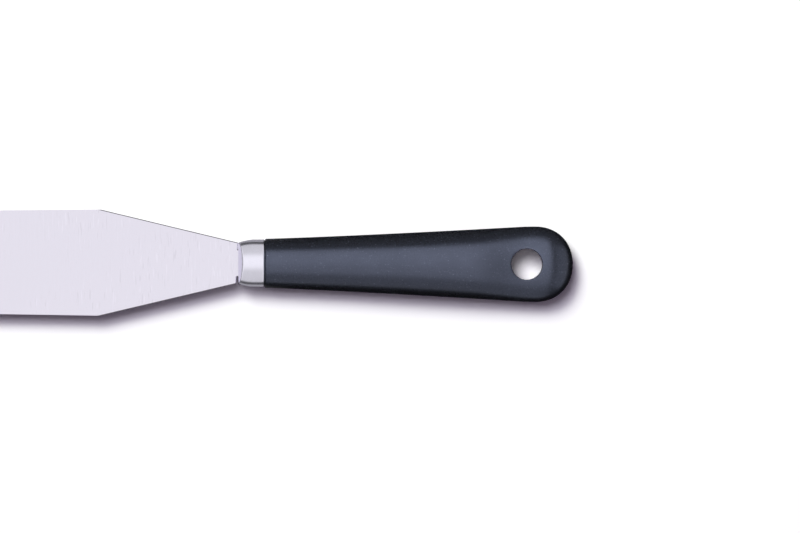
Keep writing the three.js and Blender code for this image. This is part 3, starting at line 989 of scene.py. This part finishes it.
class SPATULA_OT_handle(bpy.types.Operator):
    """Build the black moulded handle with its hanging hole"""

    bl_idname = "spatula.handle"
    bl_label = "Handle"
    bl_options = {"REGISTER", "UNDO"}

    def execute(self, context):
        settings = context.scene.spatula_handle
        sheet = HandleSheet(settings)
        finish = moulded_black(settings)
        flat = [(station, across, face) for station, across, _, face, *_ in sheet.corners]
        piece = new_piece("moulded_handle", flat, sheet.faces, finish)
        for name, column in zip(HandleSheet.FIELDS, zip(*sheet.corners)):
            piece.data.attributes.new(name, "FLOAT", "POINT").data.foreach_set("value", column)
        values = {name: getattr(settings, name.lower().replace(" ", "_")) for name in OWN_SIZES}
        values |= {
            "Front X": FERRULE_HIGH.x + settings.ferrule_gap,
            "Mid Height": MID_HEIGHT,
            "Length": sheet.length,
            "Butt Width": HANDLE_HIGH.y - HANDLE_LOW.y,
            "Full Height": HANDLE_HIGH.z - HANDLE_LOW.z,
            "Finish": finish,
        }
        shape_by_nodes(piece, handle_rule(), values)
        for name in HandleSheet.FIELDS[:-1]:  # the finish still reads the last one
            piece.data.attributes.remove(piece.data.attributes[name])
        turn_outwards(piece.data, HANDLE_CREASE)
        fit_to_frame(piece, "handle")
        return {"FINISHED"}


def lay_floor(settings):
    """A large pale floor under the tool."""
    reach = settings.floor_size / 2
    corners = [(-reach, -reach, 0.0), (reach, -reach, 0.0), (reach, reach, 0.0), (-reach, reach, 0.0)]
    floor = new_piece("floor", corners, [(0, 1, 2, 3)], pale_floor(settings))


def hang_lamp(name, shape, target, lean, bearing, distance):
    """Hangs a flat lamp at a lean from straight above and a bearing from +X, facing its target."""
    out, up = math.sin(lean), math.cos(lean)
    towards_lamp = Vector((math.cos(bearing) * out, math.sin(bearing) * out, up))
    lamp = bpy.data.lights.new(name, "AREA")
    lamp.shape = shape
    holder = bpy.data.objects.new(name, lamp)
    holder.location = target + towards_lamp * distance
    holder.rotation_euler = towards_lamp.to_track_quat("Z", "Y").to_euler()
    bpy.context.scene.collection.objects.link(holder)
    return holder, lamp


def hang_round_lamps(settings):
    """Round lamps that light the floor and matt surfaces. Gloss shows the tent instead of them."""
    target = Vector((settings.picture_x, 0.0, 0.0))
    bearing, distance = settings.lamp_bearing, settings.lamp_distance
    for name, lean, radius, watts, tint in ROUND_LAMPS:
        holder, lamp = hang_lamp(name, "DISK", target, math.radians(lean), bearing, distance)
        lamp.size, lamp.energy, lamp.color = 2 * radius, watts, tint
        holder.visible_glossy = False


def hang_soft_boxes(settings, handle):
    """Soft boxes round the handle, bright behind it, dimmer in front and at the butt."""
    target = Vector(((HANDLE_LOW.x + HANDLE_HIGH.x) / 2, 0.0, MID_HEIGHT))
    distance = settings.sheen_distance
    lit = bpy.data.collections.new("lit_by_soft_boxes")
    lit.objects.link(handle)
    for name, bearing, first, last, span, brightness in SOFT_BOXES:
        lean, half = math.radians((first + last) / 2), math.radians((last - first) / 2)
        holder, lamp = hang_lamp(name, "RECTANGLE", target, lean, math.radians(bearing), distance)
        lamp.size, lamp.size_y = span, 2 * distance * math.tan(half)
        lamp.energy = brightness * math.pi * lamp.size * lamp.size_y
        holder.visible_camera = holder.visible_diffuse = False
        holder.light_linking.receiver_collection = lit


def paint_sky(settings):
    """A white backdrop. The tool mirrors a tent instead: bright overhead and at the ends, dim low down."""
    world = bpy.data.worlds.new("tent")
    world.use_nodes = True
    world.node_tree.nodes.clear()
    world.cycles.sampling_method = "NONE"
    bench = NodeBench(world.node_tree)
    ray = bench.take_all("ShaderNodeLightPath")
    direction = bench.take("ShaderNodeTexCoord", "Generated")
    axes = bench.take_all("ShaderNodeSeparateXYZ", {"Vector": direction})
    leaning = axes["Y"] * (axes["Z"] * axes["Z"]) * math.sin(settings.tent_lean)
    ramp = bench.add("ShaderNodeValToRGB", {"Fac": axes["Z"] + leaning})
    steps = ramp.color_ramp.elements
    while len(steps) < len(TENT_STEPS):
        steps.new(0.5)  # anywhere, until its place is set below
    for step, (position, level) in zip(steps, TENT_STEPS):
        step.position = position
        step.color = (level, level, level, 1.0)
    tone = bench.tint(ray["Is Glossy Ray"], shade(settings.fill), WHITE)
    tent = bench.tint(1.0, Term(bench, ramp.outputs["Color"]), tone, "MULTIPLY")
    seen = bench.tint(ray["Is Camera Ray"], tent, WHITE)
    towards_ends = bench.spread(abs(axes["X"]), *TENT_END_REACH, 1.0, settings.tent_ends)
    strength = bench.spread(ray["Is Camera Ray"], 0.0, 1.0, towards_ends, 1.0)
    background = bench.take("ShaderNodeBackground", 0, {"Color": seen, "Strength": strength})
    bench.add("ShaderNodeOutputWorld", {"Surface": background})
    bpy.context.scene.world = world


def set_camera(settings):
    """A long lens straight above, turned so that the tool lies as it does in the photograph."""
    lens = bpy.data.cameras.new("overhead")
    lens.sensor_width = SENSOR_WIDTH
    lens.lens = SENSOR_WIDTH * settings.camera_distance / settings.picture_width
    lens.clip_end = FAR_CLIP
    camera = bpy.data.objects.new("overhead", lens)
    camera.location = (settings.picture_x, settings.picture_y, MID_HEIGHT + settings.camera_distance)
    camera.rotation_euler = (0.0, 0.0, settings.picture_turn)
    bpy.context.scene.collection.objects.link(camera)
    bpy.context.scene.camera = camera


class SPATULA_OT_stage(bpy.types.Operator):
    """Set the floor, the lights and the camera"""

    bl_idname = "spatula.stage"
    bl_label = "Stage"
    bl_options = {"REGISTER", "UNDO"}

    def execute(self, context):
        settings = context.scene.spatula_stage
        context.scene.view_settings.view_transform = "Standard"
        lay_floor(settings)
        hang_round_lamps(settings)
        hang_soft_boxes(settings, context.scene.objects["moulded_handle"])
        paint_sky(settings)
        set_camera(settings)
        return {"FINISHED"}


PIECES = (
    (SPATULA_OT_stage, "spatula_stage", StageSettings),
    (SPATULA_OT_blade, "spatula_blade", BladeSettings),
    (SPATULA_OT_ferrule, "spatula_ferrule", FerruleSettings),
    (SPATULA_OT_handle, "spatula_handle", HandleSettings),
)


class SPATULA_PT_pieces(bpy.types.Panel):
    """The spatula's pieces, each with its settings."""

    bl_label = "Pastry Spatula"
    bl_idname = "SPATULA_PT_pieces"
    bl_space_type = "VIEW_3D"
    bl_region_type = "UI"
    bl_category = "Spatula"

    def draw(self, context):
        for operator, settings, group in PIECES:
            box = self.layout.box()
            box.operator(operator.bl_idname)
            for name in group.__annotations__:
                box.prop(getattr(context.scene, settings), name)


def register():
    for operator, settings, group in PIECES:
        bpy.utils.register_class(group)
        setattr(bpy.types.Scene, settings, PointerProperty(type=group))
        bpy.utils.register_class(operator)
    bpy.utils.register_class(SPATULA_PT_pieces)


def unregister():
    bpy.utils.unregister_class(SPATULA_PT_pieces)
    for operator, settings, group in reversed(PIECES):
        bpy.utils.unregister_class(operator)
        delattr(bpy.types.Scene, settings)
        bpy.utils.unregister_class(group)


def main():
    """Builds the whole picture."""
    register()
    bpy.ops.spatula.blade()
    bpy.ops.spatula.ferrule()
    bpy.ops.spatula.handle()
    bpy.ops.spatula.stage()


if __name__ == "__main__":
    main()
